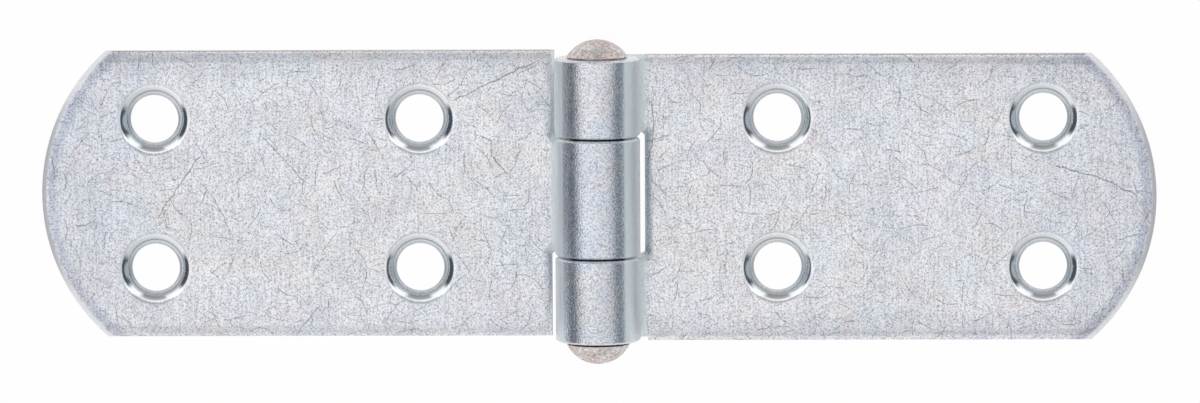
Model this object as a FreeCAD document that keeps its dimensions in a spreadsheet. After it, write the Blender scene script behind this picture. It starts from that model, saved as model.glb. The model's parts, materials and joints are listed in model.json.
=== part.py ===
import FreeCAD, Part
import math
import os

import Sketcher

# Strap hinge for a chest lid: two steel straps with rounded ends, rolled round one headed pin.
# Millimetres. The hinge lies open and flat on its back.
# X runs along the straps, Y along the pin, Z out of the front, where the screws go in.
# The origin is under the middle of the pin, on the plane that the backs of both straps share.

SIZES = {
    # Straps
    "strap_width": 30.0,
    "sheet_thickness": 1.5,
    "strap_reach": 58.25,
    "end_radius": 20.0,
    # Knuckles
    "knuckle_radius": 4.43,
    "seam_gap": 0.1,
    "middle_knuckle": 12.3,
    "knuckle_gap": 0.2,
    "notch_clearance": 0.42,
    "upper_notch_clearance": 0.12,
    "notch_corner": 0.4,
    # Middle knuckle and screw rows, measured up from the middle of the two-knuckle strap
    "row_shift": 0.5,
    # Step where the lower end knuckle stops short of its strap's edge
    "step_height": 0.4,
    "step_clearance": 0.72,
    "step_corner": 0.1,
    # Screw holes
    "hole_diameter": 5.0,
    "countersink_diameter": 7.2,
    "countersink_angle": 90.0,
    "first_hole": 18.7,
    "hole_pitch": 27.75,
    "row_pitch": 15.65,
    # Shallow roll left by the blanking die, in steps of 45, 22 and 11 degrees from the edge in
    "front_rounding": 0.4,
    "front_roll": 0.42,
    # Edges broken by tumbling
    "broken_edge": 0.2,
    "broken_lip": 0.28,
    "broken_throat": 0.12,
    # Pin
    "pin_clearance": 0.05,
    "upper_head_radius": 3.18,
    "upper_head_height": 1.75,
    "upper_head_gap": 0.15,
    "lower_head_radius": 3.33,
    "lower_head_height": 2.2,
    "lower_head_gap": 0.25,
}

# How far a cutting outline runs past the metal that it cuts
OVERRUN = 2.0
# Edges are told apart by where they lie, to within this distance
NEAR = 0.01
# Faces that meet more smoothly than this many degrees have no edge to round
SMOOTH = 5.0

# Names for the points of a sketch line or arc, as constraints count them
START = 1
END = 2
CENTRE = 3
ORIGIN = (-1, 1)


def make_sheet(doc):
    """Spreadsheet that holds every driving size, each under its name."""
    sheet = doc.addObject("Spreadsheet::Sheet", "Sizes")
    for row, (name, value) in enumerate(SIZES.items(), start=1):
        sheet.set(f"A{row}", name)
        sheet.set(f"B{row}", str(value))
        sheet.setAlias(f"B{row}", name)
    doc.recompute()
    return sheet


def origin_plane(body, role):
    """One of the body's own origin planes or axes."""
    return next(o for o in body.Origin.OriginFeatures if o.Role == role)


def new_sketch(body, name, role):
    """Empty sketch on one of the body's origin planes."""
    sketch = body.newObject("Sketcher::SketchObject", name)
    sketch.AttachmentSupport = [(origin_plane(body, role), "")]
    sketch.MapMode = "FlatFace"
    return sketch


def add_line(sketch, start, end):
    """Straight sketch line between two points, given as pairs."""
    ends = [FreeCAD.Vector(*point, 0) for point in (start, end)]
    return sketch.addGeometry(Part.LineSegment(*ends), False)


def add_arc(sketch, centre, radius, first_angle, last_angle):
    """Sketch arc drawn counter-clockwise between two angles in degrees."""
    circle = Part.Circle(FreeCAD.Vector(*centre, 0), FreeCAD.Vector(0, 0, 1), radius)
    angles = (math.radians(first_angle), math.radians(last_angle))
    return sketch.addGeometry(Part.ArcOfCircle(circle, *angles), False)


def rule(sketch, kind, *places):
    """Geometric constraint, such as Horizontal or Tangent."""
    sketch.addConstraint(Sketcher.Constraint(kind, *places))


def dimension(sketch, name, formula, kind, *places):
    """Named dimension that follows a formula on the spreadsheet."""
    value = float(sketch.evalExpression(formula))
    index = sketch.addConstraint(Sketcher.Constraint(kind, *places, value))
    sketch.renameConstraint(index, name)
    sketch.setExpression(f"Constraints.{name}", formula)


def evaluate(sketch, *formulas):
    """Present values of some formulas, to draw a sketch close to its final form."""
    return [float(sketch.evalExpression(formula)) for formula in formulas]


def draw_blank(sketch):
    """Plan of the flat strap from the pin's axis to its rounded end."""
    reach, half, radius = evaluate(
        sketch, "Sizes.strap_reach", "Sizes.strap_width / 2", "Sizes.end_radius"
    )
    centre_x = reach - radius
    spread = math.degrees(math.asin(half / radius))
    corner_x = centre_x + radius * math.cos(math.radians(spread))

    bottom = add_line(sketch, (0, -half), (corner_x, -half))
    round_end = add_arc(sketch, (centre_x, 0), radius, -spread, spread)
    top = add_line(sketch, (corner_x, half), (0, half))
    roll_start = add_line(sketch, (0, half), (0, -half))

    rule(sketch, "Horizontal", bottom)
    rule(sketch, "Coincident", bottom, END, round_end, START)
    rule(sketch, "Coincident", round_end, END, top, START)
    rule(sketch, "Horizontal", top)
    rule(sketch, "Coincident", top, END, roll_start, START)
    rule(sketch, "Coincident", roll_start, END, bottom, START)
    rule(sketch, "PointOnObject", roll_start, START, -2)
    rule(sketch, "PointOnObject", roll_start, END, -2)
    rule(sketch, "PointOnObject", round_end, CENTRE, -1)
    half_formula = "Sizes.strap_width / 2"
    dimension(sketch, "top_edge", half_formula, "DistanceY", *ORIGIN, top, END)
    dimension(sketch, "bottom_edge", half_formula, "DistanceY", bottom, START, *ORIGIN)
    dimension(sketch, "radius", "Sizes.end_radius", "Radius", round_end)
    centre_formula = "Sizes.strap_reach - Sizes.end_radius"
    dimension(sketch, "centre", centre_formula, "DistanceX", *ORIGIN, round_end, CENTRE)


def draw_roll(sketch):
    """Edge view of a knuckle: the sheet runs under the pin, round and over it.

    Its cut end comes down on the strap's front with a fine seam between them."""
    thick, outer, seam = evaluate(
        sketch,
        "Sizes.sheet_thickness",
        "Sizes.knuckle_radius",
        "Sizes.sheet_thickness + Sizes.seam_gap",
    )
    inner = outer - thick
    centre = (0, outer)
    cut_angle = math.degrees(math.asin(seam / outer - 1))
    along = (math.cos(math.radians(cut_angle)), math.sin(math.radians(cut_angle)))
    cut_outside = (outer * along[0], outer + outer * along[1])
    cut_inside = (inner * along[0], outer + inner * along[1])

    roll_start = add_line(sketch, (0, thick), (0, 0))
    outside = add_arc(sketch, centre, outer, cut_angle, 270)
    cut_end = add_line(sketch, cut_outside, cut_inside)
    inside = add_arc(sketch, centre, inner, cut_angle, 270)

    rule(sketch, "Coincident", roll_start, END, *ORIGIN)
    rule(sketch, "Vertical", roll_start)
    rule(sketch, "Coincident", roll_start, END, outside, END)
    rule(sketch, "Coincident", outside, START, cut_end, START)
    rule(sketch, "Coincident", cut_end, END, inside, START)
    rule(sketch, "Coincident", inside, END, roll_start, START)
    rule(sketch, "Coincident", inside, CENTRE, outside, CENTRE)
    rule(sketch, "PointOnObject", outside, CENTRE, roll_start)
    rule(sketch, "PointOnObject", outside, CENTRE, cut_end)
    dimension(sketch, "sheet", "Sizes.sheet_thickness", "Distance", roll_start)
    dimension(sketch, "knuckle", "Sizes.knuckle_radius", "Radius", outside)
    seam_formula = "Sizes.sheet_thickness + Sizes.seam_gap"
    dimension(sketch, "seam", seam_formula, "DistanceY", *ORIGIN, cut_end, START)


def draw_window(sketch, name, low, high, inward, corner):
    """Notch across the knuckle end of the blank, with its two inward corners rounded.

    It runs between two heights on Y and reaches inward along the strap."""
    outward = f"Sizes.knuckle_radius + {OVERRUN}"
    bottom_y, top_y, in_x, out_x, round_by = evaluate(
        sketch, low, high, inward, outward, corner
    )
    out_x = -out_x

    bottom = add_line(sketch, (out_x, bottom_y), (in_x - round_by, bottom_y))
    low_corner = (in_x - round_by, bottom_y + round_by)
    low_arc = add_arc(sketch, low_corner, round_by, -90, 0)
    side = add_line(sketch, (in_x, bottom_y + round_by), (in_x, top_y - round_by))
    high_corner = (in_x - round_by, top_y - round_by)
    high_arc = add_arc(sketch, high_corner, round_by, 0, 90)
    top = add_line(sketch, (in_x - round_by, top_y), (out_x, top_y))
    outside = add_line(sketch, (out_x, top_y), (out_x, bottom_y))

    rule(sketch, "Horizontal", bottom)
    rule(sketch, "Tangent", bottom, END, low_arc, START)
    rule(sketch, "Tangent", low_arc, END, side, START)
    rule(sketch, "Vertical", side)
    rule(sketch, "Tangent", side, END, high_arc, START)
    rule(sketch, "Equal", low_arc, high_arc)
    rule(sketch, "Tangent", high_arc, END, top, START)
    rule(sketch, "Horizontal", top)
    rule(sketch, "Coincident", top, END, outside, START)
    rule(sketch, "Vertical", outside)
    rule(sketch, "Coincident", outside, END, bottom, START)
    dimension(sketch, f"{name}_low", low, "DistanceY", *ORIGIN, bottom, START)
    dimension(sketch, f"{name}_high", high, "DistanceY", *ORIGIN, top, END)
    dimension(sketch, f"{name}_inward", inward, "DistanceX", *ORIGIN, side, START)
    dimension(sketch, f"{name}_outward", outward, "DistanceX", outside, START, *ORIGIN)
    dimension(sketch, f"{name}_corner", corner, "Radius", low_arc)


def cut_through(body, sketch, name):
    """Cut a sketch drawn on the back plane right through the sheet and the roll."""
    before = body.Shape.Volume
    pocket = body.newObject("PartDesign::Pocket", name)
    pocket.Profile = sketch
    pocket.Type = "ThroughAll"
    pocket.SideType = "Symmetric"
    body.Document.recompute()
    if not body.Shape.Volume < before:
        raise RuntimeError(f"{name} cuts nothing")


def cut_screw_holes(body, row_centre):
    """Two rows of two countersunk screw holes, sunk from the front."""
    doc = body.Document
    sketch = new_sketch(body, "FirstHole", "XY_Plane")
    sketch.setExpression("AttachmentOffset.Base.z", "Sizes.sheet_thickness")
    low_row = f"{row_centre} - Sizes.row_pitch / 2"
    across, along, radius = evaluate(
        sketch, low_row, "Sizes.first_hole", "Sizes.hole_diameter / 2"
    )
    circle = Part.Circle(FreeCAD.Vector(along, across, 0), FreeCAD.Vector(0, 0, 1), radius)
    ring = sketch.addGeometry(circle, False)
    dimension(sketch, "along", "Sizes.first_hole", "DistanceX", *ORIGIN, ring, CENTRE)
    dimension(sketch, "across", low_row, "DistanceY", *ORIGIN, ring, CENTRE)
    dimension(sketch, "size", "Sizes.hole_diameter / 2", "Radius", ring)
    doc.recompute()

    hole = body.newObject("PartDesign::Hole", "ScrewHole")
    hole.Profile = sketch
    hole.DepthType = "ThroughAll"
    hole.HoleCutType = "Countersink"
    hole.HoleCutCustomValues = True
    hole.setExpression("Diameter", "Sizes.hole_diameter")
    hole.setExpression("HoleCutDiameter", "Sizes.countersink_diameter")
    hole.setExpression("HoleCutCountersinkAngle", "Sizes.countersink_angle")
    doc.recompute()

    pattern = body.newObject("PartDesign::LinearPattern", "ScrewHoles")
    pattern.Originals = [hole]
    pattern.Direction = (origin_plane(body, "X_Axis"), [""])
    pattern.setExpression("Length", "Sizes.hole_pitch")
    pattern.Occurrences = 2
    pattern.Direction2 = (origin_plane(body, "Y_Axis"), [""])
    pattern.setExpression("Length2", "Sizes.row_pitch")
    pattern.Occurrences2 = 2
    body.Tip = pattern
    doc.recompute()


def is_sharp(shape, edge):
    """True where an edge's two faces meet at an angle that can be rounded."""
    faces = shape.ancestorsOfType(edge, Part.Face)
    if len(faces) != 2:
        return False
    middle = edge.valueAt((edge.FirstParameter + edge.LastParameter) / 2)
    normals = []
    for face in faces:
        u, v = face.Surface.parameter(middle)
        normals.append(face.normalAt(u, v))
    return math.degrees(normals[0].getAngle(normals[1])) > SMOOTH


def dress_edges(body, kind, name, size, wanted):
    """Fillet or chamfer the sharp edges whose sample points pass a test."""
    shape = body.Shape
    chosen = []
    for number, edge in enumerate(shape.Edges, start=1):
        span = edge.LastParameter - edge.FirstParameter
        points = [edge.valueAt(edge.FirstParameter + span * part) for part in (0.1, 0.5, 0.9)]
        if wanted(points) and is_sharp(shape, edge):
            chosen.append(f"Edge{number}")
    if not chosen:
        raise RuntimeError(f"{name} found no edge")
    before = shape.Volume
    bare = body.Tip
    dressed = body.newObject(f"PartDesign::{kind}", name)
    dressed.Base = (bare, chosen)
    dressed.setExpression("Radius" if kind == "Fillet" else "Size", f"Sizes.{size}")
    body.Tip = dressed
    body.Document.recompute()
    if abs(body.Shape.Volume - before) < NEAR**2:
        raise RuntimeError(f"{name} changes nothing")


def roll_front(body):
    """Shallow roll that the blanking die leaves all round the front, short of the knuckles.

    Each chamfer halves the angle at the edge of the flat that the one before it left."""
    (thick,) = evaluate(body, "Sizes.sheet_thickness")

    def on_front(points):
        return all(point.x > NEAR and abs(point.z - thick) < NEAR for point in points)

    dress_edges(body, "Chamfer", "RollRim", "front_rounding", on_front)
    dress_edges(body, "Chamfer", "RollMiddle", "front_roll", on_front)
    dress_edges(body, "Chamfer", "RollInside", "front_roll", on_front)


def break_back(body):
    """Edge broken along the back of the strap, and on round the outside of each roll."""
    (outer,) = evaluate(body, "Sizes.knuckle_radius")

    def on_back(points):
        flat = all(point.x > NEAR and abs(point.z) < NEAR for point in points)
        from_pin = [math.hypot(point.x, point.z - outer) for point in points]
        on_roll = all(abs(distance - outer) < NEAR for distance in from_pin)
        return flat or (on_roll and abs(points[0].y - points[-1].y) < NEAR)

    dress_edges(body, "Chamfer", "BrokenBack", "broken_edge", on_back)


def break_screw_holes(body, row_centre):
    """Soft throats and lips on the countersinks."""
    thick, rim, bore, sink, rows, first, hole_pitch, row_pitch = evaluate(
        body,
        "Sizes.sheet_thickness",
        "Sizes.countersink_diameter / 2",
        "Sizes.hole_diameter / 2",
        "Sizes.countersink_angle",
        row_centre,
        "Sizes.first_hole",
        "Sizes.hole_pitch",
        "Sizes.row_pitch",
    )
    centres = [
        (first + column * hole_pitch, rows + (row - 0.5) * row_pitch)
        for column in (0, 1)
        for row in (0, 1)
    ]
    # The cone ends where it meets the bore. One too wide to meet it runs out at the back
    # and leaves a knife edge there, which takes a rounding but no chamfer.
    slope = math.tan(math.radians(sink / 2))
    throat_height = max(thick - (rim - bore) / slope, 0)
    throat = rim - (thick - throat_height) * slope
    kind = "Chamfer" if throat_height > NEAR else "Fillet"

    def on_ring(points, radius, height):
        return all(
            abs(point.z - height) < NEAR
            and abs(min(math.hypot(point.x - x, point.y - y) for x, y in centres) - radius) < NEAR
            for point in points
        )

    def on_throat(points):
        return on_ring(points, throat, throat_height)

    def on_lip(points):
        return on_ring(points, rim, thick)

    dress_edges(body, kind, "CountersinkThroats", "broken_throat", on_throat)
    dress_edges(body, "Chamfer", "CountersinkLips", "broken_lip", on_lip)


def cut_windows(body, windows):
    """Cut each window (name, low, high, inward, corner), as draw_window takes them."""
    for window in windows:
        outline = new_sketch(body, f"{window[0]}Outline", "XY_Plane")
        draw_window(outline, *window)
        cut_through(body, outline, window[0])


def roll_knuckle(body, name, low, high):
    """Roll one tongue of the sheet round the pin's axis, between two heights on Y."""
    section = new_sketch(body, f"{name}Section", "XZ_Plane")
    section.setExpression("AttachmentOffset.Base.z", f"-({low})")
    draw_roll(section)
    roll = body.newObject("PartDesign::Pad", name)
    roll.Profile = section
    roll.Reversed = True
    roll.setExpression("Length", f"({high}) - ({low})")
    body.Document.recompute()


def make_strap(doc, name, notches, trims, knuckles, row_centre):
    """One strap in its own frame, with the flat part along +X and the rolls round the Y axis."""
    body = doc.addObject("PartDesign::Body", name)
    body.Label = name

    plan = new_sketch(body, "BlankPlan", "XY_Plane")
    draw_blank(plan)
    blank = body.newObject("PartDesign::Pad", "Blank")
    blank.Profile = plan
    blank.setExpression("Length", "Sizes.sheet_thickness")
    doc.recompute()

    cut_windows(body, notches)
    roll_front(body)
    cut_windows(body, trims)
    for knuckle in knuckles:
        roll_knuckle(body, *knuckle)
    break_back(body)
    cut_screw_holes(body, row_centre)
    break_screw_holes(body, row_centre)
    return body


def make_single_knuckle_strap(doc):
    """Strap whose middle tongue is rolled. It points the other way, so it is turned round Z."""
    inward = "Sizes.knuckle_radius + Sizes.notch_clearance"
    upper_inward = "Sizes.knuckle_radius + Sizes.upper_notch_clearance"
    knuckle_end = "Sizes.middle_knuckle / 2"
    past_edge = f"Sizes.strap_width / 2 + {OVERRUN}"
    corner = "Sizes.notch_corner"
    # Turning the strap round brings its low side up
    notches = [
        ("LowerNotch", knuckle_end, past_edge, inward, corner),
        ("UpperNotch", f"-({past_edge})", f"-({knuckle_end})", upper_inward, corner),
    ]
    knuckles = [("MiddleKnuckle", f"-({knuckle_end})", knuckle_end)]
    body = make_strap(doc, "single_knuckle_leaf", notches, [], knuckles, "0")
    body.Placement = FreeCAD.Placement(
        FreeCAD.Vector(0, 0, 0), FreeCAD.Rotation(FreeCAD.Vector(0, 0, 1), 180)
    )
    body.setExpression("Placement.Base.y", "Sizes.row_shift")
    return body


def make_two_knuckle_strap(doc):
    """Strap whose two end tongues are rolled. The lower one stops short of the edge."""
    half_notch = "(Sizes.middle_knuckle / 2 + Sizes.knuckle_gap)"
    inward = "Sizes.knuckle_radius + Sizes.notch_clearance"
    step_inward = "Sizes.knuckle_radius + Sizes.step_clearance"
    below_edge = f"-(Sizes.strap_width / 2 + {OVERRUN})"
    step_top = "-(Sizes.strap_width / 2 - Sizes.step_height)"
    middle_notch = (
        "MiddleNotch",
        f"Sizes.row_shift - {half_notch}",
        f"Sizes.row_shift + {half_notch}",
        inward,
        "Sizes.notch_corner",
    )
    edge_step = ("EdgeStep", below_edge, step_top, step_inward, "Sizes.step_corner")
    knuckles = [
        ("UpperKnuckle", f"Sizes.row_shift + {half_notch}", "Sizes.strap_width / 2"),
        ("LowerKnuckle", step_top, f"Sizes.row_shift - {half_notch}"),
    ]
    return make_strap(
        doc, "two_knuckle_leaf", [middle_notch], [edge_step], knuckles, "Sizes.row_shift"
    )


def draw_pin_outline(sketch):
    """Half outline of the pin along its axis: lower head, shank, upper head."""
    lower_seat_formula = (
        "Sizes.strap_width / 2 - Sizes.step_height + Sizes.lower_head_gap"
    )
    upper_seat_formula = "Sizes.strap_width / 2 + Sizes.upper_head_gap"
    shank_formula = "Sizes.knuckle_radius - Sizes.sheet_thickness - Sizes.pin_clearance"
    lower_seat, upper_seat, shank = evaluate(
        sketch, lower_seat_formula, upper_seat_formula, shank_formula
    )
    lower_seat = -lower_seat
    heads = {}
    for side in ("lower", "upper"):
        base, rise = evaluate(
            sketch, f"Sizes.{side}_head_radius", f"Sizes.{side}_head_height"
        )
        dome = (base**2 + rise**2) / (2 * rise)
        spread = math.degrees(math.asin(min(1.0, base / dome)))
        heads[side] = (base, rise, dome, spread if rise <= base else 180 - spread)

    base, rise, dome, spread = heads["lower"]
    lower_tip = lower_seat - rise
    lower_dome = add_arc(sketch, (lower_tip + dome, 0), dome, 180 - spread, 180)
    lower_face = add_line(sketch, (lower_seat, base), (lower_seat, shank))
    side_line = add_line(sketch, (lower_seat, shank), (upper_seat, shank))
    base, rise, dome, spread = heads["upper"]
    upper_tip = upper_seat + rise
    upper_face = add_line(sketch, (upper_seat, shank), (upper_seat, base))
    upper_dome = add_arc(sketch, (upper_tip - dome, 0), dome, 0, spread)
    axis = add_line(sketch, (upper_tip, 0), (lower_tip, 0))

    rule(sketch, "Coincident", lower_dome, START, lower_face, START)
    rule(sketch, "Vertical", lower_face)
    rule(sketch, "Coincident", lower_face, END, side_line, START)
    rule(sketch, "Horizontal", side_line)
    rule(sketch, "Coincident", side_line, END, upper_face, START)
    rule(sketch, "Vertical", upper_face)
    rule(sketch, "Coincident", upper_face, END, upper_dome, END)
    rule(sketch, "Coincident", upper_dome, START, axis, START)
    rule(sketch, "Coincident", axis, END, lower_dome, END)
    for point in ((axis, START), (axis, END), (lower_dome, CENTRE), (upper_dome, CENTRE)):
        rule(sketch, "PointOnObject", *point, -1)

    dimension(sketch, "shank", shank_formula, "DistanceY", *ORIGIN, side_line, START)
    dimension(
        sketch, "lower_seat", lower_seat_formula, "DistanceX", side_line, START, *ORIGIN
    )
    dimension(
        sketch, "upper_seat", upper_seat_formula, "DistanceX", *ORIGIN, side_line, END
    )
    ends = {
        "lower": (lower_face, START, axis, END, lower_face, START),
        "upper": (upper_face, END, upper_face, END, axis, START),
    }
    for side, (rim, rim_point, *rise_places) in ends.items():
        radius = f"Sizes.{side}_head_radius"
        height = f"Sizes.{side}_head_height"
        dimension(sketch, f"{side}_radius", radius, "DistanceY", *ORIGIN, rim, rim_point)
        dimension(sketch, f"{side}_height", height, "DistanceX", *rise_places)


def make_pin(doc):
    """Solid pin with a round head at each end, turned about its own axis."""
    body = doc.addObject("PartDesign::Body", "hinge_pin")
    body.Label = "hinge_pin"
    outline = new_sketch(body, "PinOutline", "YZ_Plane")
    draw_pin_outline(outline)
    turned = body.newObject("PartDesign::Revolution", "TurnedPin")
    turned.Profile = outline
    turned.ReferenceAxis = (outline, ["H_Axis"])
    turned.Angle = 360
    body.setExpression("Placement.Base.z", "Sizes.knuckle_radius")
    doc.recompute()
    return body


def check(doc, bodies):
    """Stop if a feature failed or a piece is not one sound solid."""
    for item in doc.Objects:
        if {"Invalid", "Error"} & set(item.State):
            raise RuntimeError(f"{item.Label} failed: {item.State}")
    for body in bodies:
        shape = body.Shape
        if shape.isNull() or not shape.isValid() or len(shape.Solids) != 1:
            raise RuntimeError(f"{body.Label} is not one sound solid")


def main():
    os.makedirs("parts", exist_ok=True)
    doc = FreeCAD.newDocument("StrapHinge")
    make_sheet(doc)
    bodies = [make_two_knuckle_strap(doc), make_single_knuckle_strap(doc), make_pin(doc)]
    doc.recompute()
    check(doc, bodies)
    for body in bodies:
        body.Shape.exportStep(f"parts/{body.Label}.step")
        box = body.Shape.BoundBox
        print(body.Label, f"{box.XLength:.2f} x {box.YLength:.2f} x {box.ZLength:.2f} mm")


main()
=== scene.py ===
"""Zinc-plated strap hinge, lying open on a pale floor under soft studio light."""

import json
import math

import bpy
from mathutils import Matrix, Vector


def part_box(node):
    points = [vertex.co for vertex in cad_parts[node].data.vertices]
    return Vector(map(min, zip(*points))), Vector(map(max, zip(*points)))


MM = 0.001
WHITE = (1, 1, 1, 1)

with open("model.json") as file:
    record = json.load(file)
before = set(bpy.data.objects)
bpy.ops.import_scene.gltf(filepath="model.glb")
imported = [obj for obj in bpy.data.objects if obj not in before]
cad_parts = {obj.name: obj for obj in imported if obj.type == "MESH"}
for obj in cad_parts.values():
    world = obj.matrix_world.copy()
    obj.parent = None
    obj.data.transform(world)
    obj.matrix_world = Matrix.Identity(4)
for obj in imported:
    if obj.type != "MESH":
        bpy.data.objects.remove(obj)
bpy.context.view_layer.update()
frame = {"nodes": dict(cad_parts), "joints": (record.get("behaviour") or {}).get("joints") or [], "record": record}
scene = bpy.context.scene
scene.view_settings.view_transform = "Standard"


# Camera: looks down on the front, a little from the pin's upper end and the right

PHOTO_WIDTH = 1200
SENSOR_WIDTH = 36.0
CAMERA_DISTANCE = 0.84
CLIP_START = 0.01
PIXELS_PER_METRE = 9555.0
TILT_TO_PIN_END = math.radians(6.3)
LEAN_TO_RIGHT = math.radians(1.4)
CAMERA_ROLL = math.radians(-0.28)
AIM = Vector((0.13 * MM, -0.52 * MM, 0.0))


def make_camera():
    """Camera that sees the hinge as the photograph does."""
    back = Vector(
        (
            math.sin(LEAN_TO_RIGHT),
            math.sin(TILT_TO_PIN_END) * math.cos(LEAN_TO_RIGHT),
            math.cos(TILT_TO_PIN_END) * math.cos(LEAN_TO_RIGHT),
        )
    )
    up = Vector((0, 1, 0))
    up = (up - back * up.dot(back)).normalized()
    right = up.cross(back)
    turned_right = right * math.cos(CAMERA_ROLL) + up * math.sin(CAMERA_ROLL)
    turned_up = up * math.cos(CAMERA_ROLL) - right * math.sin(CAMERA_ROLL)

    data = bpy.data.cameras.new("camera")
    data.sensor_width = SENSOR_WIDTH
    data.lens = PIXELS_PER_METRE * CAMERA_DISTANCE * SENSOR_WIDTH / PHOTO_WIDTH
    data.clip_start = CLIP_START
    camera = bpy.data.objects.new("camera", data)
    axes = Matrix((turned_right, turned_up, back)).transposed()
    camera.matrix_world = Matrix.Translation(AIM + back * CAMERA_DISTANCE) @ axes.to_4x4()
    scene.collection.objects.link(camera)
    scene.camera = camera


# Shader graphs

# Octaves of a noise: for wide soft patches, and for ragged ones
SOFT_DETAIL = 3.0
RAGGED_DETAIL = 4.0


class Graph:
    """Short ways to add nodes to a material's or the world's shader graph."""

    def __init__(self, owner):
        owner.use_nodes = True
        self.tree = owner.node_tree
        self.tree.nodes.clear()

    def node(self, kind, inputs=(), **settings):
        """New node. Inputs are (socket, value or output) pairs."""
        node = self.tree.nodes.new(kind)
        for name, value in settings.items():
            setattr(node, name, value)
        for socket, value in inputs:
            self.feed(node, socket, value)
        return node

    def feed(self, node, socket, value):
        """Give one input a value, or join it to another node's output."""
        if isinstance(value, bpy.types.NodeSocket):
            self.tree.links.new(value, node.inputs[socket])
        else:
            node.inputs[socket].default_value = value

    def output(self, shader, kind="ShaderNodeOutputMaterial"):
        """End of the graph."""
        self.node(kind, [("Surface", shader)])

    # Numbers

    def math(self, operation, first, second=0.0, clamp=False):
        """Result of a math node."""
        pairs = [(0, first), (1, second)]
        return self.node("ShaderNodeMath", pairs, operation=operation, use_clamp=clamp).outputs[0]

    def add(self, first, second):
        """Sum of two values."""
        return self.math("ADD", first, second)

    def take(self, first, second):
        """First value less the second."""
        return self.math("SUBTRACT", first, second)

    def mul(self, first, second):
        """Product of two values."""
        return self.math("MULTIPLY", first, second)

    def size(self, value):
        """Value without its sign."""
        return self.math("ABSOLUTE", value)

    def largest(self, first, second):
        """Larger one of two values."""
        return self.math("MAXIMUM", first, second)

    def without(self, mask):
        """1 where the mask is 0, and 0 where it is 1."""
        return self.take(1.0, mask)

    def ramp(self, value, low, high, to_low=0.0, to_high=1.0):
        """Smooth step of a value between two limits."""
        pairs = [(0, value), (1, low), (2, high), (3, to_low), (4, to_high)]
        return self.node("ShaderNodeMapRange", pairs, interpolation_type="SMOOTHSTEP").outputs[0]

    def below(self, value, low, high):
        """1 up to the low limit, 0 from the high one."""
        return self.ramp(value, low, high, 1.0, 0.0)

    def choose(self, mask, outside, inside):
        """One number where the mask is 0, another where it is 1."""
        return self.ramp(mask, 0.0, 1.0, outside, inside)

    # Places and directions

    def vector(self, operation, first, second=(0, 0, 0), scale=1.0, result=0):
        """Result of a vector math node."""
        pairs = [(0, first), (1, second), (3, scale)]
        return self.node("ShaderNodeVectorMath", pairs, operation=operation).outputs[result]

    def parts(self, vector):
        """X, Y and Z of a vector."""
        return self.node("ShaderNodeSeparateXYZ", [(0, vector)]).outputs

    def place(self, stretch=(1, 1, 1), shift=0.0):
        """Object coordinates in millimetres, moved along and then stretched."""
        where = self.node("ShaderNodeTexCoord").outputs["Object"]
        moved = self.node(
            "ShaderNodeMapping",
            [("Vector", where), ("Location", (shift * MM,) * 3)],
            vector_type="POINT",
        ).outputs[0]
        scale = [part / MM for part in stretch]
        return self.node(
            "ShaderNodeMapping", [("Vector", moved), ("Scale", scale)], vector_type="POINT"
        ).outputs[0]

    def normal(self):
        """X, Y and Z of the way the surface faces, on the piece itself."""
        return self.parts(self.node("ShaderNodeTexCoord").outputs["Normal"])

    def noise(self, where, scale, detail=2.0, rough=0.5, result="Fac"):
        """Noise with about that many features a millimetre, grey or in colour."""
        pairs = [("Vector", where), ("Scale", scale), ("Detail", detail), ("Roughness", rough)]
        return self.node("ShaderNodeTexNoise", pairs).outputs[result]

    def wander(self, where, scale, reach):
        """Small random offset that changes slowly over the surface."""
        noise = self.noise(where, scale, RAGGED_DETAIL, result="Color")
        return self.vector("MULTIPLY", self.vector("SUBTRACT", noise, (0.5, 0.5, 0.5)), reach)

    # Colours

    def mix(self, factor, first, second, blend="MIX"):
        """Colour mixed from two."""
        pairs = [("Factor", factor), (6, first), (7, second)]
        node = self.node("ShaderNodeMix", pairs, data_type="RGBA", blend_type=blend)
        return node.outputs[2]

    def shaded(self, colour, shade):
        """Colour multiplied by another, or by a number."""
        return self.mix(1.0, colour, shade, blend="MULTIPLY")

    def tinted(self, colour, mask, tint):
        """Colour multiplied by a tint where the mask is 1."""
        return self.shaded(colour, self.mix(mask, WHITE, tint))

    def metal(self, colour, metallic, roughness, relief, strength, depth):
        """Metal shader with a fine relief, whose depth is in metres."""
        pairs = [("Strength", strength), ("Distance", depth), ("Height", relief)]
        bump = self.node("ShaderNodeBump", pairs).outputs[0]
        pairs = [
            ("Base Color", colour),
            ("Metallic", metallic),
            ("Roughness", roughness),
            ("Normal", bump),
        ]
        return self.node("ShaderNodeBsdfPrincipled", pairs).outputs[0]


# Places on the straps in millimetres. The hinge lies open along X, with the pin along Y.

right_low, right_high = (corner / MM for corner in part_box("two_knuckle_leaf"))
left_low, left_high = (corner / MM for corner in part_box("single_knuckle_leaf"))
STRAP_HALF_WIDTH = (right_high.y - right_low.y) / 2
LEFT_STRAP_UP = (left_high.y + left_low.y) / 2
ROLL_RADIUS = frame["joints"][0]["pos_m"][2] / MM

# The holes lie in the same places on both straps
mounts = {mount["name"]: mount for mount in frame["record"]["mounts"]}
holes = mounts["two_knuckle_strap_holes"]
HOLES_OUT, HOLES_UP, _ = (part / MM for part in holes["pos_m"])
HOLE_HALF_PITCH = holes["dims"]["spacing_x_mm"] / 2
ROW_HALF_PITCH = holes["dims"]["spacing_y_mm"] / 2
HOLE_RADIUS = holes["dims"]["hole_r_mm"]

# Round ends: their arc's middle out from the pin, and its radius. The pair is how far past
# the middle the distance from the arc begins to count, and from where it does in full.
ARC_OUT = 38.25
ARC_RADIUS = 20.0
ARC_BEGINS = (5.0, 8.0)

# Where the looks change. Each pair below is the two limits of a smooth step.

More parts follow.
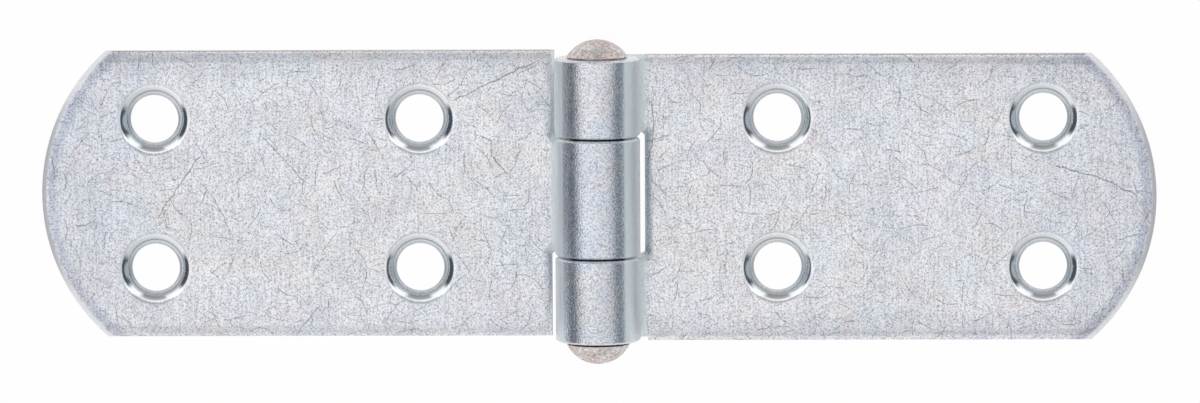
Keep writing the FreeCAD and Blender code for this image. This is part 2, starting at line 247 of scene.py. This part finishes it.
# Out from the roll, the flat of the strap. Up from the back, what belongs to the front.
PAST_ROLL = (0.17, 0.77)
FRONT_FROM = (0.1, 0.25)
# Out from the rim of a hole: the throat and its side walls, which get painted shade, the cone and the lip
THROAT_REACH = (0.22, 0.45)
SIDE_WALL_REACH = (0.4, 0.8)
CONE_REACH = (0.8, 1.1)
SUNK_REACH = (1.05, 1.45)
# Inwards from the edge of the round ends: a rim of painted highlight, then a band of painted shade
RIM_INSIDE = (0.25, 0.60)
BAND_OUTSIDE = (0.45, 0.75)
BAND_INSIDE = (1.1, 1.9)
# Inwards from the straight edges: a faint band of painted shade
EDGE_BAND_OUTSIDE = (0.45, 0.75)
EDGE_BAND_INSIDE = (1.2, 3.8)
# Out from the pin: where painted shade darkens the straps, and where it darkens the rims
FAR_END = (42.0, 56.0)
RIM_FAR_OUT = (54.5, 57.5)
# Out from the pin: where the sides of the rolls get painted light
SIDE_LIGHT_LEFT = (3.3, 3.7)
SIDE_LIGHT_RIGHT = (2.6, 3.05)

# How far a face looks aside on the throat's side walls, which get painted shade, up where it
# turns to a cut edge, and along the pin on a sheared edge
SIDE_WALL_FACING = (0.60, 0.85)
CUT_FACING = (0.60, 0.68)
SHEARED_FACING = (0.93, 0.99)


def outside_holes(graph):
    """Distance outwards from the rim of the nearest screw hole, in millimetres."""
    along, across, _ = graph.parts(graph.place())
    out = graph.take(graph.size(along), HOLES_OUT)
    from_x = graph.take(graph.size(out), HOLE_HALF_PITCH)
    from_y = graph.take(graph.size(graph.take(across, HOLES_UP)), ROW_HALF_PITCH)
    squares = graph.add(graph.mul(from_x, from_x), graph.mul(from_y, from_y))
    return graph.take(graph.math("SQRT", squares), HOLE_RADIUS)


def inside_ends(graph):
    """Distance inwards from the edge of the round ends, in millimetres, and more elsewhere."""
    along, across, _ = graph.parts(graph.place())
    out = graph.take(graph.size(along), ARC_OUT)
    on_left = graph.math("LESS_THAN", along, 0.0)
    across = graph.take(across, graph.mul(on_left, LEFT_STRAP_UP))
    squares = graph.add(graph.mul(out, out), graph.mul(across, across))
    inwards = graph.take(ARC_RADIUS, graph.math("SQRT", squares))
    return graph.add(inwards, graph.ramp(out, *ARC_BEGINS, ARC_RADIUS, 0.0))


def inside_sides(graph):
    """Distance inwards from the straight edges, without the left strap's lower one."""
    along, across, _ = graph.parts(graph.place())
    on_left = graph.math("LESS_THAN", along, 0.0)
    across = graph.take(across, graph.mul(on_left, LEFT_STRAP_UP))
    from_upper = graph.take(STRAP_HALF_WIDTH, across)
    from_lower = graph.add(across, STRAP_HALF_WIDTH)
    from_lower = graph.add(from_lower, graph.mul(on_left, STRAP_HALF_WIDTH))
    return graph.math("MINIMUM", from_upper, from_lower)


class StrapMasks:
    """Masks of the parts of a strap that look different, each 1 inside and 0 outside."""

    def __init__(self, graph):
        along, _, height = graph.parts(graph.place())
        out = graph.size(along)
        self.flat = graph.ramp(graph.take(out, ROLL_RADIUS), *PAST_ROLL)
        self.front = graph.mul(graph.ramp(height, *FRONT_FROM), self.flat)
        self.far = graph.ramp(out, *FAR_END)
        self.rim_far = graph.ramp(out, *RIM_FAR_OUT)
        # Sides of the rolls, which get painted light
        left_side = graph.ramp(graph.mul(along, -1.0), *SIDE_LIGHT_LEFT)
        right_side = graph.ramp(along, *SIDE_LIGHT_RIGHT)
        self.painted_side_light = graph.mul(graph.largest(left_side, right_side), graph.without(self.flat))
        self.mask_holes(graph)
        self.mask_edges(graph)

    def mask_holes(self, graph):
        """Masks of the countersinks: all of them, their cones, throats and side walls."""
        outside = outside_holes(graph)
        self.sunk = graph.mul(graph.below(outside, *SUNK_REACH), self.front)
        # Throat of the hole, where painted shade falls
        self.throat = graph.mul(graph.below(outside, *THROAT_REACH), self.front)
        cone = graph.mul(graph.below(outside, *CONE_REACH), self.front)
        self.cone = graph.mul(cone, graph.without(self.throat))
        # Painted shade on the side walls that face aside
        faces_aside = graph.ramp(graph.size(graph.normal()[0]), *SIDE_WALL_FACING)
        wall = graph.mul(faces_aside, graph.below(outside, *SIDE_WALL_REACH))
        self.side_wall = graph.mul(wall, self.front)

    def mask_edges(self, graph):
        """Masks of the rim and the bands inside the edges, which get painted light and shade, and of cut and
        sheared edges.
        """
        inwards = inside_ends(graph)
        # Band of painted shade inside the round ends' rims
        band = graph.mul(graph.ramp(inwards, *BAND_OUTSIDE), graph.below(inwards, *BAND_INSIDE))
        self.band = graph.mul(band, self.front)
        # Rim of painted highlight along the round ends
        self.rim = graph.mul(graph.below(inwards, *RIM_INSIDE), self.front)
        from_side = inside_sides(graph)
        edge_band = graph.mul(
            graph.ramp(from_side, *EDGE_BAND_OUTSIDE), graph.below(from_side, *EDGE_BAND_INSIDE)
        )
        self.edge_band = graph.mul(edge_band, self.front)
        _, faces_pin_end, faces_up = graph.normal()
        turned = graph.below(graph.size(faces_up), *CUT_FACING)
        cut = graph.largest(graph.mul(turned, self.flat), self.rim)
        self.cut = graph.mul(cut, graph.without(self.sunk))
        self.sheared = graph.ramp(graph.size(faces_pin_end), *SHEARED_FACING)


# Scratches and pits in the plating. Lengths are in millimetres, scales are features a
# millimetre, and a shift only keeps one noise apart from the others.

# How a hairline strays, and the parts of its width and length from where it fades
HAIRLINE_WANDER = 0.9
HAIRLINE_REACH = (0.5, 0.5, 0.5)
HAIRLINE_CORE = 0.4
HAIRLINE_FADE = (0.3, 0.5)
LONG_HAIRLINES = {"cell": 7.5, "length": 9.0, "width": 0.06, "bow": 0.1, "share": 0.14}
FINE_HAIRLINES = {"cell": 2.6, "length": 3.0, "width": 0.05, "bow": 0.5, "share": 0.6}
TINY_HAIRLINES = {"cell": 1.5, "length": 1.9, "width": 0.05, "bow": 0.9, "share": 0.7}
LONG_SHIFT = 90.0
FINE_SHIFT = 3.0
TINY_SHIFT = 170.0
TINY_STRENGTH = 0.6

# Scratches that stand out on the front, each through a few points
MARKS = (
    ((-15.0, 10.2), (-10.6, 12.5), (-6.7, 14.2)),
    ((47.7, 3.3), (52.5, 2.0), (56.1, 0.2)),
    ((-46.2, -2.1), (-43.8, 1.4), (-41.7, 4.4)),
    ((-12.2, 6.6), (-11.1, 6.1), (-11.1, 4.5), (-9.5, 2.6)),
)
MARK_HALF_WIDTH = (0.02, 0.10)
MARK_WANDER = 0.7
MARK_REACH = (0.8, 0.8, 0.0)

# Pits: how many cells a millimetre, the share that is pitted, and their reach in a cell
PITS_A_MM = 3.0
PIT_SHARE = 0.4
PIT_RADIUS = (0.10, 0.34)


def hairlines(graph, cell, length, width, bow, share, shift):
    """Mask of fine curved scratches, at most one in each random cell of the surface.

    Share is the part of the cells that holds a scratch, and bow how much it may curve."""
    where = graph.place(shift=shift)
    where = graph.vector("ADD", where, graph.wander(where, HAIRLINE_WANDER, HAIRLINE_REACH))
    cells = graph.node(
        "ShaderNodeTexVoronoi", [("Vector", where), ("Scale", 1 / cell)], voronoi_dimensions="2D"
    )
    offset = graph.vector("SUBTRACT", where, cells.outputs["Position"])
    turn, curve, chance = graph.node(
        "ShaderNodeSeparateColor", [(0, cells.outputs["Color"])]
    ).outputs
    turned = graph.node(
        "ShaderNodeVectorRotate",
        [("Vector", offset), ("Angle", graph.mul(turn, 2 * math.pi))],
        rotation_type="Z_AXIS",
    )
    along, across, _ = graph.parts(turned.outputs[0])
    sag = graph.mul(graph.mul(along, along), graph.mul(graph.take(curve, 0.5), bow))
    off_line = graph.size(graph.take(across, sag))
    on_line = graph.below(off_line, width * HAIRLINE_CORE, width)
    near_middle = graph.below(graph.size(along), *(length * part for part in HAIRLINE_FADE))
    present = graph.math("LESS_THAN", chance, share)
    return graph.mul(graph.mul(on_line, near_middle), present)


def one_mark(graph, start, end):
    """Mask of one scratch between two points of the front, given in millimetres."""
    place = graph.place()
    wander = graph.wander(place, MARK_WANDER, MARK_REACH)
    place = graph.vector("ADD", graph.vector("MULTIPLY", place, (1, 1, 0)), wander)
    run = Vector(end) - Vector(start)
    offset = graph.vector("SUBTRACT", place, (*start, 0))
    share = graph.vector("DOT_PRODUCT", offset, (*run, 0), result="Value")
    share = graph.math("MULTIPLY", share, 1 / run.length_squared, clamp=True)
    nearest = graph.vector("SCALE", (*run, 0), scale=share)
    off_line = graph.vector("LENGTH", graph.vector("SUBTRACT", offset, nearest), result="Value")
    return graph.below(off_line, *MARK_HALF_WIDTH)


def all_scratches(graph, masks):
    """Mask of the hairlines on the sheet and the marks on its front."""
    fine = hairlines(graph, **FINE_HAIRLINES, shift=FINE_SHIFT)
    long_ones = hairlines(graph, **LONG_HAIRLINES, shift=LONG_SHIFT)
    tiny = graph.mul(hairlines(graph, **TINY_HAIRLINES, shift=TINY_SHIFT), TINY_STRENGTH)
    scratches = graph.largest(graph.largest(fine, long_ones), tiny)
    scratches = graph.mul(scratches, masks.flat)
    scratches = graph.mul(scratches, graph.without(masks.sunk))
    for mark in MARKS:
        for start, end in zip(mark, mark[1:]):
            mark_here = graph.mul(one_mark(graph, start, end), masks.front)
            scratches = graph.largest(scratches, mark_here)
    return scratches


def pinholes(graph):
    """Mask of tiny round pits, one in some of the random cells of the surface."""
    cells = graph.node("ShaderNodeTexVoronoi", [("Vector", graph.place()), ("Scale", PITS_A_MM)])
    chance = graph.node("ShaderNodeSeparateColor", [(0, cells.outputs["Color"])]).outputs[0]
    present = graph.math("LESS_THAN", chance, PIT_SHARE)
    return graph.mul(graph.below(cells.outputs["Distance"], *PIT_RADIUS), present)


# Zinc plating. A range is where a noise is turned from one colour or level to the other.

# Silver, with clouds and a blush
CLOUD_SCALE = 0.16
CLOUD_RANGE = (0.35, 0.60)
CLOUD_COLOURS = ((0.855, 0.88, 0.925, 1), (0.90, 0.90, 0.915, 1))
BLUSH_SCALE = 0.22
BLUSH_SHIFT = 40.0
BLUSH_RANGE = (0.50, 0.75)
BLUSH_SHARE = 0.6
BLUSH_COLOUR = (0.92, 0.86, 0.86, 1)

# Grain, with dark specks and pits
GRAIN_SCALE = 5.5
GRAIN_ROUGH = 0.6
SPECK_RANGE = (0.28, 0.60)
SPECK_TINT = (0.535, 0.555, 0.625, 1)
SPECKS_GONE_IN_SINKS = 0.8
PIT_TINT = (0.40, 0.41, 0.48, 1)

# Streaks along the pin on the flats, mottling everywhere, and stains on the rolls
STREAK_STRETCH = (4.5, 0.35, 4.5)
STREAK_RANGE = (0.3, 0.6)
STREAK_LEVELS = (0.86, 1.0)
MOTTLE_SCALE = 0.3
MOTTLE_SHIFT = 60.0
MOTTLE_RANGE = (0.38, 0.62)
MOTTLE_LEVELS = (0.965, 1.035)
STAIN_SCALE = 0.35
STAIN_SHIFT = 20.0
STAIN_RANGE = (0.4, 0.6)

# Tints that are multiplied over the silver: painted shade, and stains on the rolls
# Painted shade: the straps turn darker towards their far ends
FAR_END_SHADE = (0.90, 0.92, 0.945, 1)
# Painted shade in a band inside the round ends' rims
BAND_SHADE = (0.80, 0.81, 0.86, 1)
# Painted shade in a faint band inside the straight edges
EDGE_BAND_SHADE = (0.90, 0.905, 0.92, 1)
ROLL_TINTS = ((0.86, 0.895, 0.935, 1), (0.91, 0.915, 0.92, 1))
# Painted shade on the holes' side walls and in their throats
SIDE_WALL_SHADE = (0.66, 0.67, 0.69, 1)
THROAT_SHADE = (0.64, 0.67, 0.69, 1)
SCRATCH_SHADE = 0.5
# Colours that take the silver's place, and how far they do, some of them painted light and shade
CONE_COLOUR = (0.67, 0.70, 0.72, 1)
SHEARED_COLOUR = (0.93, 0.80, 0.66, 1)
SHEARED_SHARE = 0.8
# Painted light on the sides of the rolls, standing in for light reflected there
PAINTED_SIDE_LIGHT_COLOUR = (0.81, 0.88, 0.90, 1)
SIDE_LIGHT_SHARE = 0.75
# Painted highlight on the rims of the round ends, and painted shade on them far out
RIM_HIGHLIGHT_COLOUR = (0.90, 0.90, 0.91, 1)
RIM_FAR_SHADE_COLOUR = (0.58, 0.58, 0.62, 1)

# Gloss and relief, with factors where it differs
PLATING_METALLIC = 0.93
CUT_METALLIC = 0.35
SIDE_LIGHT_METALLIC = 0.55
PLATING_ROUGHNESS = (0.34, 0.24)
GRAIN_RANGE = (0.3, 0.7)
CUT_ROUGHER = 0.3
SINKS_SMOOTHER = 0.45
ROLLS_SMOOTHER = 0.8
SCRATCH_DEPTH = 0.5
SINKS_FLATTER = 0.25
ROLLS_COARSER = 2.2
RELIEF_STRENGTH = 0.7
RELIEF_DEPTH = 0.03 * MM


def silver(graph):
    """Silver with large patches that turn a little blue, pink or yellow."""
    clouds = graph.noise(graph.place(), CLOUD_SCALE, detail=SOFT_DETAIL)
    colour = graph.mix(graph.ramp(clouds, *CLOUD_RANGE), *CLOUD_COLOURS)
    blush = graph.noise(graph.place(shift=BLUSH_SHIFT), BLUSH_SCALE)
    return graph.mix(graph.ramp(blush, *BLUSH_RANGE, 0.0, BLUSH_SHARE), colour, BLUSH_COLOUR)


def speckled(graph, grain, masks):
    """Shade of fine dark specks and pits everywhere, which hardly show in the countersinks."""
    bare = graph.largest(
        graph.ramp(grain, *SPECK_RANGE), graph.mul(masks.sunk, SPECKS_GONE_IN_SINKS)
    )
    pits = graph.mul(pinholes(graph), graph.without(masks.sunk))
    return graph.mix(pits, graph.mix(bare, SPECK_TINT, WHITE), PIT_TINT)


def plating_shade(graph, specks, scratches, masks):
    """Everything that darkens the plating: specks, streaks, mottling, stains and scratches, and painted shade at
    the far ends, in bands inside the edges and in the holes.
    """
    streaks = graph.noise(graph.place(stretch=STREAK_STRETCH), 1.0, detail=SOFT_DETAIL)
    streaks = graph.ramp(streaks, *STREAK_RANGE, *STREAK_LEVELS)
    mottle = graph.noise(graph.place(shift=MOTTLE_SHIFT), MOTTLE_SCALE, detail=SOFT_DETAIL)
    mottle = graph.ramp(mottle, *MOTTLE_RANGE, *MOTTLE_LEVELS)
    stains = graph.noise(graph.place(shift=STAIN_SHIFT), STAIN_SCALE)
    roll_tint = graph.mix(graph.ramp(stains, *STAIN_RANGE), *ROLL_TINTS)

    shade = graph.tinted(specks, masks.flat, streaks)
    shade = graph.shaded(shade, mottle)
    # Painted shade towards the far ends
    shade = graph.tinted(shade, masks.far, FAR_END_SHADE)
    # Painted shade in a band inside the round ends
    shade = graph.tinted(shade, masks.band, BAND_SHADE)
    # Painted shade inside the straight edges
    shade = graph.tinted(shade, masks.edge_band, EDGE_BAND_SHADE)
    shade = graph.tinted(shade, graph.without(masks.flat), roll_tint)
    # Painted shade in the holes: on their side walls and in their throats
    shade = graph.tinted(shade, masks.side_wall, SIDE_WALL_SHADE)
    shade = graph.tinted(shade, masks.throat, THROAT_SHADE)
    return graph.shaded(shade, graph.choose(scratches, 1.0, SCRATCH_SHADE))


def plating_colour(graph, specks, scratches, masks):
    """Colour of the plating. Cones and sheared edges have their own, the rolls' sides and rims get painted light,
    and the rims painted shade far out.
    """
    shade = plating_shade(graph, specks, scratches, masks)
    colour = graph.mix(masks.cone, graph.shaded(silver(graph), shade), CONE_COLOUR)
    # Sheared edges that face along the pin are plated thinly, and look warmer
    warm = graph.shaded(SHEARED_COLOUR, specks)
    colour = graph.mix(graph.mul(masks.sheared, SHEARED_SHARE), colour, warm)
    # Painted light on the sides of the rolls
    colour = graph.mix(graph.mul(masks.painted_side_light, SIDE_LIGHT_SHARE), colour, PAINTED_SIDE_LIGHT_COLOUR)
    # Painted highlight on the rims of the round ends, turning to painted shade far out
    rim_highlight_and_shade = graph.mix(masks.rim_far, RIM_HIGHLIGHT_COLOUR, RIM_FAR_SHADE_COLOUR)
    return graph.mix(masks.rim, colour, rim_highlight_and_shade)


def zinc_plating():
    """Bright zinc plating: grain, pits, streaks, tinted clouds, hairlines and marks."""
    material = bpy.data.materials.new("zinc_plating")
    graph = Graph(material)
    masks = StrapMasks(graph)
    grain = graph.noise(graph.place(), GRAIN_SCALE, rough=GRAIN_ROUGH)
    specks = speckled(graph, grain, masks)
    scratches = all_scratches(graph, masks)
    colour = plating_colour(graph, specks, scratches, masks)

    # Cut edges are rough and dull, the countersinks are pressed smooth, the rolls a little
    roughness = graph.ramp(grain, *GRAIN_RANGE, *PLATING_ROUGHNESS)
    roughness = graph.add(roughness, graph.mul(masks.cut, CUT_ROUGHER))
    roughness = graph.mul(roughness, graph.choose(masks.sunk, 1.0, SINKS_SMOOTHER))
    roughness = graph.mul(roughness, graph.choose(masks.flat, ROLLS_SMOOTHER, 1.0))
    metallic = graph.choose(masks.cut, PLATING_METALLIC, CUT_METALLIC)
    metallic = graph.mul(metallic, graph.choose(masks.painted_side_light, 1.0, SIDE_LIGHT_METALLIC))

    relief = graph.take(grain, graph.mul(scratches, SCRATCH_DEPTH))
    relief = graph.mul(relief, graph.choose(masks.sunk, 1.0, SINKS_FLATTER))
    relief = graph.mul(relief, graph.choose(masks.flat, ROLLS_COARSER, 1.0))
    graph.output(graph.metal(colour, metallic, roughness, relief, RELIEF_STRENGTH, RELIEF_DEPTH))
    return material


# Steel of the pin. Places are in millimetres along the pin: the middle of its shank, half
# the length between its heads, and how far from each head the painted shade of the shank ends.

PIN_MIDDLE = 0.15
PIN_HALF = 15.0
BELOW_UPPER_HEAD = (0.35, 0.25)
PAST_LOWER_HEAD = (0.12, 0.02)
STEEL_GRAIN_SCALE = 3.0
STEEL_GRAIN_ROUGH = 0.65
STEEL_GRAIN_SHADE = (0.3, 0.65, 0.5, 1.0)
PATCH_SCALE = 0.6
PATCH_SHIFT = 15.0
PATCH_RANGE = (0.35, 0.65)
PATCH_COLOURS = ((0.76, 0.65, 0.62, 1), (0.84, 0.80, 0.79, 1))
# Painted shade, near black, on the shank
SHANK_SHADE_COLOUR = (0.05, 0.045, 0.04, 1)
STEEL_ROUGHNESS = (0.55, 0.42)
STEEL_RELIEF_STRENGTH = 0.6
STEEL_RELIEF_DEPTH = 0.06 * MM


def pin_steel():
    """Duller steel with a warm tint, as on an upset rivet head."""
    material = bpy.data.materials.new("pin_steel")
    graph = Graph(material)
    grain = graph.noise(graph.place(), STEEL_GRAIN_SCALE, RAGGED_DETAIL, STEEL_GRAIN_ROUGH)
    patches = graph.noise(graph.place(shift=PATCH_SHIFT), PATCH_SCALE, detail=SOFT_DETAIL)
    colour = graph.mix(graph.ramp(patches, *PATCH_RANGE), *PATCH_COLOURS)
    colour = graph.shaded(colour, graph.ramp(grain, *STEEL_GRAIN_SHADE))
    # Painted shade darkens the shank, and the lower head where it meets the shank
    along_pin = graph.take(graph.parts(graph.place())[1], PIN_MIDDLE)
    below_upper = graph.below(along_pin, *(PIN_HALF - gap for gap in BELOW_UPPER_HEAD))
    above_lower = graph.ramp(along_pin, *(-PIN_HALF - part for part in PAST_LOWER_HEAD))
    colour = graph.mix(graph.mul(below_upper, above_lower), colour, SHANK_SHADE_COLOUR)
    roughness = graph.ramp(grain, *GRAIN_RANGE, *STEEL_ROUGHNESS)
    steel = graph.metal(colour, 1.0, roughness, grain, STEEL_RELIEF_STRENGTH, STEEL_RELIEF_DEPTH)
    graph.output(steel)
    return material


# Floor, light and world

FLOOR_SIZE = 6.0
FLOOR_DROP = 0.05 * MM
FLOOR_PAINT = (0.86, 0.86, 0.86, 1)
FLOOR_GLOW = 0.97

# Level of the dome at each angle from overhead, in degrees towards the pin's upper end
DOME = (
    (-90, 0.96),
    (-60, 1.00),
    (-46, 0.97),
    (-32, 0.68),
    (-22, 0.80),
    (-12, 1.03),
    (2, 1.03),
    (14, 0.70),
    (30, 0.50),
    (39, 0.58),
    (45, 1.2),
    (52, 1.4),
    (60, 0.85),
    (68, 0.45),
    (90, 0.30),
)
DOME_PEAK = 1.45
# To each side, as sines of the angle from the plane of the pin and overhead: where the dome
# is still lit and where it is dim, then how far it stays dim and where the horizon's own
# level is reached
RIGHT_DIMS = (0.64, 0.80)
RIGHT_HORIZON = (0.90, 0.96)
LEFT_DIMS = (0.70, 0.87)
LEFT_HORIZON = (0.985, 1.06)
DIM_LEVELS = (0.03, 0.048, 0.075)
HORIZON_LEVELS = (0.50, 0.58, 0.62)
LEFT_LEANING = 0.22
# The sides are only dim this near the plane across the pin, given as sines along the pin
SIDES_BREADTH = (0.35, 0.60)
# Bright panels stand towards both upper corners, past these sines aside and along the pin,
# and end above the horizon at these sines up
PANEL_ASIDE = (0.34, 0.50)
PANEL_UP = (0.12, 0.30)
PANEL_FOOT = (0.02, 0.30)
PANEL_LEVEL = 1.45


def light(*levels):
    """Colour of the dome at one light level, or at one each for red, green and blue."""
    colour = levels if len(levels) == 3 else levels * 3
    return tuple(level / DOME_PEAK for level in colour) + (1.0,)


def make_floor():
    """Pale floor that shows as white and still takes the hinge's faint shadow."""
    half = FLOOR_SIZE / 2
    mesh = bpy.data.meshes.new("floor")
    corners = [(-half, -half, 0), (half, -half, 0), (half, half, 0), (-half, half, 0)]
    mesh.from_pydata(corners, [], [(0, 1, 2, 3)])
    floor = bpy.data.objects.new("floor", mesh)
    floor.location.z = -FLOOR_DROP
    scene.collection.objects.link(floor)

    material = bpy.data.materials.new("floor_paint")
    graph = Graph(material)
    paint = graph.node("ShaderNodeBsdfDiffuse", [("Color", FLOOR_PAINT)]).outputs[0]
    glow = graph.node("ShaderNodeEmission", [("Color", WHITE), ("Strength", 1.0)]).outputs[0]
    rays = graph.node("ShaderNodeLightPath").outputs
    seen = graph.largest(rays["Is Camera Ray"], rays["Is Glossy Ray"])
    seen = graph.largest(seen, rays["Is Transmission Ray"])
    share = graph.mul(seen, FLOOR_GLOW)
    graph.output(graph.node("ShaderNodeMixShader", [(0, share), (1, paint), (2, glow)]).outputs[0])
    mesh.materials.append(material)


def dome_level(graph, towards_pin_end, upwards):
    """Light of the dome by its angle from overhead towards the pin's upper end."""
    angle = graph.math("ARCTAN2", towards_pin_end, upwards)
    # From -90 to 90 degrees as 0 to 1
    share = graph.math("ADD", graph.math("DIVIDE", angle, math.pi), 0.5, clamp=True)
    dome = graph.node("ShaderNodeValToRGB", [("Fac", share)])
    stops = dome.color_ramp.elements
    stops.remove(stops[0])
    stops[0].position = 0.0
    stops[0].color = light(DOME[0][1])
    for degrees, level in DOME[1:]:
        stops.new(0.5 + degrees / 180).color = light(level)
    return dome.outputs[0]


def light_scene():
    """Studio dome: soft light above, a bright window past the pin's upper end, two bright
    panels towards the upper corners, and dim sides."""
    world = bpy.data.worlds.new("studio")
    scene.world = world
    graph = Graph(world)
    rightwards, along_pin, upwards = graph.parts(
        graph.node("ShaderNodeTexCoord").outputs["Generated"]
    )
    leftwards = graph.mul(rightwards, -1.0)

    leaning = graph.take(1.0, graph.mul(rightwards, LEFT_LEANING))
    above = graph.shaded(dome_level(graph, along_pin, upwards), leaning)
    panel = graph.mul(
        graph.ramp(graph.size(rightwards), *PANEL_ASIDE), graph.ramp(along_pin, *PANEL_UP)
    )
    panel = graph.mul(panel, graph.ramp(upwards, *PANEL_FOOT))
    above = graph.mix(panel, above, light(PANEL_LEVEL))

    side = graph.largest(graph.ramp(rightwards, *RIGHT_DIMS), graph.ramp(leftwards, *LEFT_DIMS))
    side = graph.mul(side, graph.below(graph.size(along_pin), *SIDES_BREADTH))
    low = graph.largest(
        graph.ramp(rightwards, *RIGHT_HORIZON), graph.ramp(leftwards, *LEFT_HORIZON)
    )
    beside = graph.mix(low, light(*DIM_LEVELS), light(*HORIZON_LEVELS))

    studio = graph.node(
        "ShaderNodeBackground",
        [("Color", graph.mix(side, above, beside)), ("Strength", DOME_PEAK)],
    ).outputs[0]
    white = graph.node("ShaderNodeBackground", [("Color", WHITE), ("Strength", 1.0)]).outputs[0]
    seen = graph.node("ShaderNodeLightPath").outputs["Is Camera Ray"]
    mixed = graph.node("ShaderNodeMixShader", [(0, seen), (1, studio), (2, white)])
    graph.output(mixed.outputs[0], kind="ShaderNodeOutputWorld")


# The hinge itself: the carried-over solids, shaded smoothly and given their metals

SHARP_ANGLE = math.radians(40)
MERGE_DISTANCE = 0.5e-6


def finish_metal(piece, material):
    """Give a carried-over solid its metal, and shading that runs smoothly over fine facets."""
    mesh = piece.data
    mesh.materials.clear()
    mesh.materials.append(material)
    mesh.polygons.foreach_set("material_index", [0] * len(mesh.polygons))
    mesh.polygons.foreach_set("use_smooth", [True] * len(mesh.polygons))
    weld = piece.modifiers.new("merge", "WELD")
    weld.merge_threshold = MERGE_DISTANCE
    split = piece.modifiers.new("sharp_edges", "EDGE_SPLIT")
    split.split_angle = SHARP_ANGLE
    normals = piece.modifiers.new("normals", "WEIGHTED_NORMAL")
    normals.keep_sharp = True


make_camera()
make_floor()
light_scene()

zinc = zinc_plating()
finish_metal(frame["nodes"]["two_knuckle_leaf"], zinc)
finish_metal(frame["nodes"]["single_knuckle_leaf"], zinc)
finish_metal(frame["nodes"]["hinge_pin"], pin_steel())
